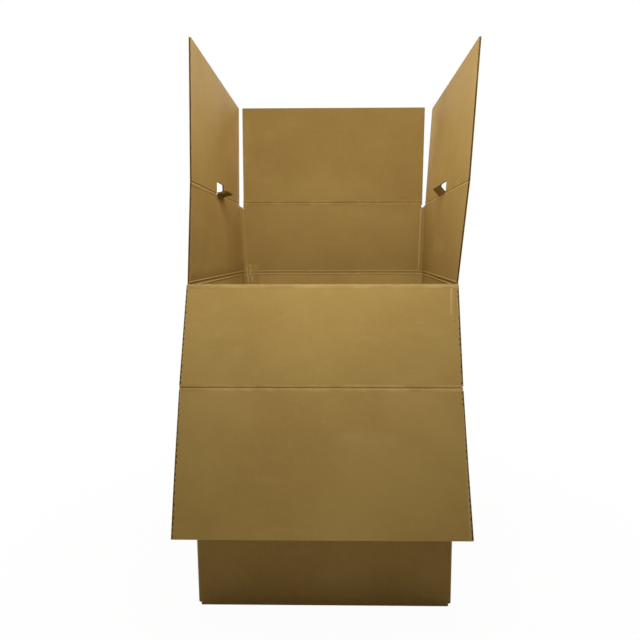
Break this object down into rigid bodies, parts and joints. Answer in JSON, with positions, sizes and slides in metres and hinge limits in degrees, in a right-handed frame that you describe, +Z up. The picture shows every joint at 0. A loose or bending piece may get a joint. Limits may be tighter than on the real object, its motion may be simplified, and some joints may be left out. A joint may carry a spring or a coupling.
{
  "type": "wardrobe moving box",
  "caption": "Tall corrugated wardrobe moving box, top flaps open and the cut-out front panel folded down outside, with hanger-bar slots in the side flaps.",
  "frame": {"origin": "middle of the box's base on the floor, under the bottom seam and midway between the four walls", "axes": "+X to the right seen from the open front, +Y from the front to the back, +Z up"},
  "size_m": [0.6635, 0.8049, 1.324],
  "materials": {
    "kraft_board": "matte",
    "kraft_tape": "satin"
  },
  "bodies": {
    "body": {"carton_body": "kraft_board", "bottom_tape": "kraft_tape"},
    "drop_panel": {"front_drop_panel": "kraft_board"},
    "front_flap": {"front_flap": "kraft_board"},
    "back_flap": {"back_flap": "kraft_board"},
    "left_flap": {"left_flap": "kraft_board"},
    "right_flap": {"right_flap": "kraft_board"},
    "left_bar_tab": {"left_bar_tab": "kraft_board"},
    "right_bar_tab": {"right_bar_tab": "kraft_board"}
  },
  "joints": [
    {"name": "front_fold", "type": "hinge", "parent": "body", "child": "drop_panel", "pos_m": [0, -0.307, 0.785], "axis": [-1, 0, 0], "range_deg": [-16, 160]},
    {"name": "front_flap_crease", "type": "hinge", "parent": "drop_panel", "child": "front_flap", "pos_m": [0, -0.38669, 0.56605], "axis": [-1, 0, 0], "range_deg": [-6, 85]},
    {"name": "back_flap_crease", "type": "hinge", "parent": "body", "child": "back_flap", "pos_m": [0, 0.307, 1.018], "axis": [1, 0, 0], "range_deg": [-165, 85]},
    {"name": "left_flap_crease", "type": "hinge", "parent": "body", "child": "left_flap", "pos_m": [-0.30505, 0, 1.0135], "axis": [-0.0398, 0.9992, 0], "range_deg": [-166.6, 88.4]},
    {"name": "right_flap_crease", "type": "hinge", "parent": "body", "child": "right_flap", "pos_m": [0.32097, 0, 1.0135], "axis": [0.0249, -0.9997, 0], "range_deg": [-161.6, 93.4]},
    {"name": "left_tab_fold", "type": "hinge", "parent": "body", "child": "left_bar_tab", "pos_m": [-0.30055, 0.00018, 1.0125], "axis": [-0.0398, 0.9992, 0], "range_deg": [-76, 87]},
    {"name": "right_tab_fold", "type": "hinge", "parent": "body", "child": "right_bar_tab", "pos_m": [0.31647, -0.00011, 1.0125], "axis": [0.0249, -0.9997, 0], "range_deg": [-44, 121]}
  ]
}
